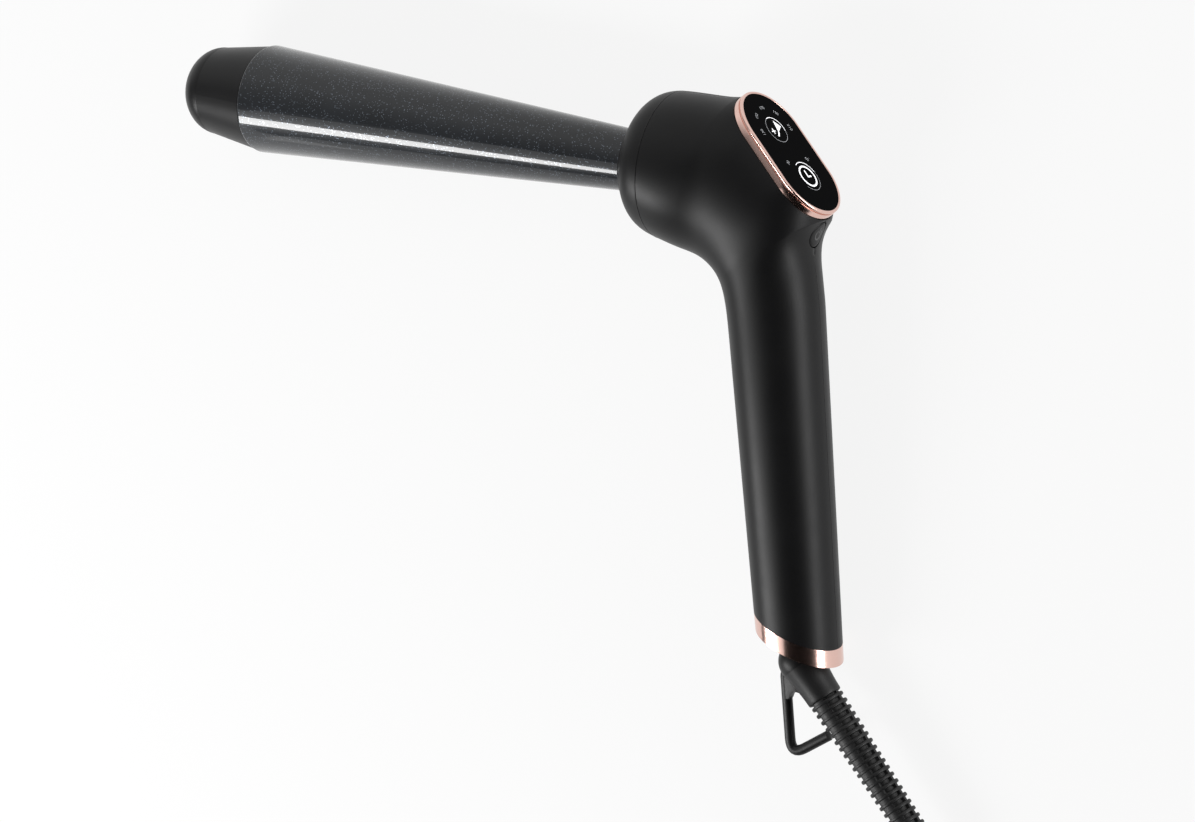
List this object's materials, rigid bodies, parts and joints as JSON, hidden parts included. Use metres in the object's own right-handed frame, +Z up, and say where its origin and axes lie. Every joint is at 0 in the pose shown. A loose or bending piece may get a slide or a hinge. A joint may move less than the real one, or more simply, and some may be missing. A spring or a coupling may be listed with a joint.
{
  "type": "hair waver",
  "caption": "Corded hair styling tool: reverse cone barrel set across a slim round handle, touch panel on the corner, push button, swivel cord with hanging loop.",
  "frame": {"origin": "centre of the lying tool on the table, below its bounding box (cord, coil and plug left out)", "axes": "+Z up from the table the tool lies on, +X from the barrel tip toward the handle, +Y from the cord toward the head"},
  "size_m": [0.3327, 0.5106, 0.0498],
  "materials": {
    "soft_black": "soft touch matte",
    "tip_black": "fine matte",
    "barrel_ceramic": "glazed, fine speckle",
    "rose_gold": "polished rose gold",
    "panel_glass": "high gloss black",
    "board_green": "solder mask",
    "inner_plastic": "as moulded",
    "component_black": "as moulded",
    "component_white": "as moulded",
    "heater_ceramic": "unglazed",
    "clamp_aluminium": "extruded",
    "steel": "plain",
    "brass": "plain",
    "mica": "layered sheet",
    "cord_rubber": "smooth matte",
    "plug_chrome": "polished",
    "lead_sleeve": "woven sleeve"
  },
  "bodies": {
    "tool": {"barrel": "barrel_ceramic", "barrel_collar": "soft_black", "board_capacitor": "component_white", "board_fuse": "component_black", "board_relay": "component_black", "brush_1": "brass", "brush_2": "brass", "brush_block": "inner_plastic", "cool_tip": "tip_black", "cord_coil": "cord_rubber", "cord_lead": "cord_rubber", "cord_run": "cord_rubber", "cord_tail": "cord_rubber", "cord_tie": "cord_rubber", "display_board": "board_green", "end_cap": "soft_black", "end_ring": "rose_gold", "head_ring": "soft_black", "heat_sensor": "component_black", "heater_clamp_lower": "clamp_aluminium", "heater_clamp_upper": "clamp_aluminium", "heater_leads": "lead_sleeve", "heater_plate": "heater_ceramic", "heater_spring": "steel", "main_board": "board_green", "mount_plate": "inner_plastic", "mount_screw_1": "steel", "mount_screw_2": "steel", "mount_screw_3": "steel", "panel_bezel": "rose_gold", "panel_glass": "panel_glass", "panel_lights": "component_white", "panel_tray": "inner_plastic", "plug_body": "cord_rubber", "plug_pin_1": "plug_chrome", "plug_pin_2": "plug_chrome", "plug_relief": "cord_rubber", "power_switch": "component_black", "shell_far": "soft_black", "shell_near": "soft_black", "switch_board": "board_green", "tip_insulator": "mica", "touch_foil": "component_black"},
    "button": {"power_button": "soft_black", "switch_plunger": "component_black"},
    "cord_swivel": {"swivel_knuckle": "soft_black", "swivel_clip": "steel", "contact_carrier": "inner_plastic", "contact_ring_1": "brass", "contact_ring_2": "brass", "strain_relief": "cord_rubber", "hanging_loop": "cord_rubber"}
  },
  "joints": [
    {"name": "button_press", "type": "slide", "parent": "tool", "child": "button", "axis": [-0.9989, 0, -0.0459], "range_m": [0, 0.0008], "stiffness_N_per_m": 1800},
    {"name": "cord_swivel_turn", "type": "hinge", "parent": "tool", "child": "cord_swivel", "pos_m": [0.09337, -0.07273, 0.01385], "axis": [0.0035, -0.9972, -0.0753], "continuous": true, "deforming": ["cord_lead"]}
  ]
}
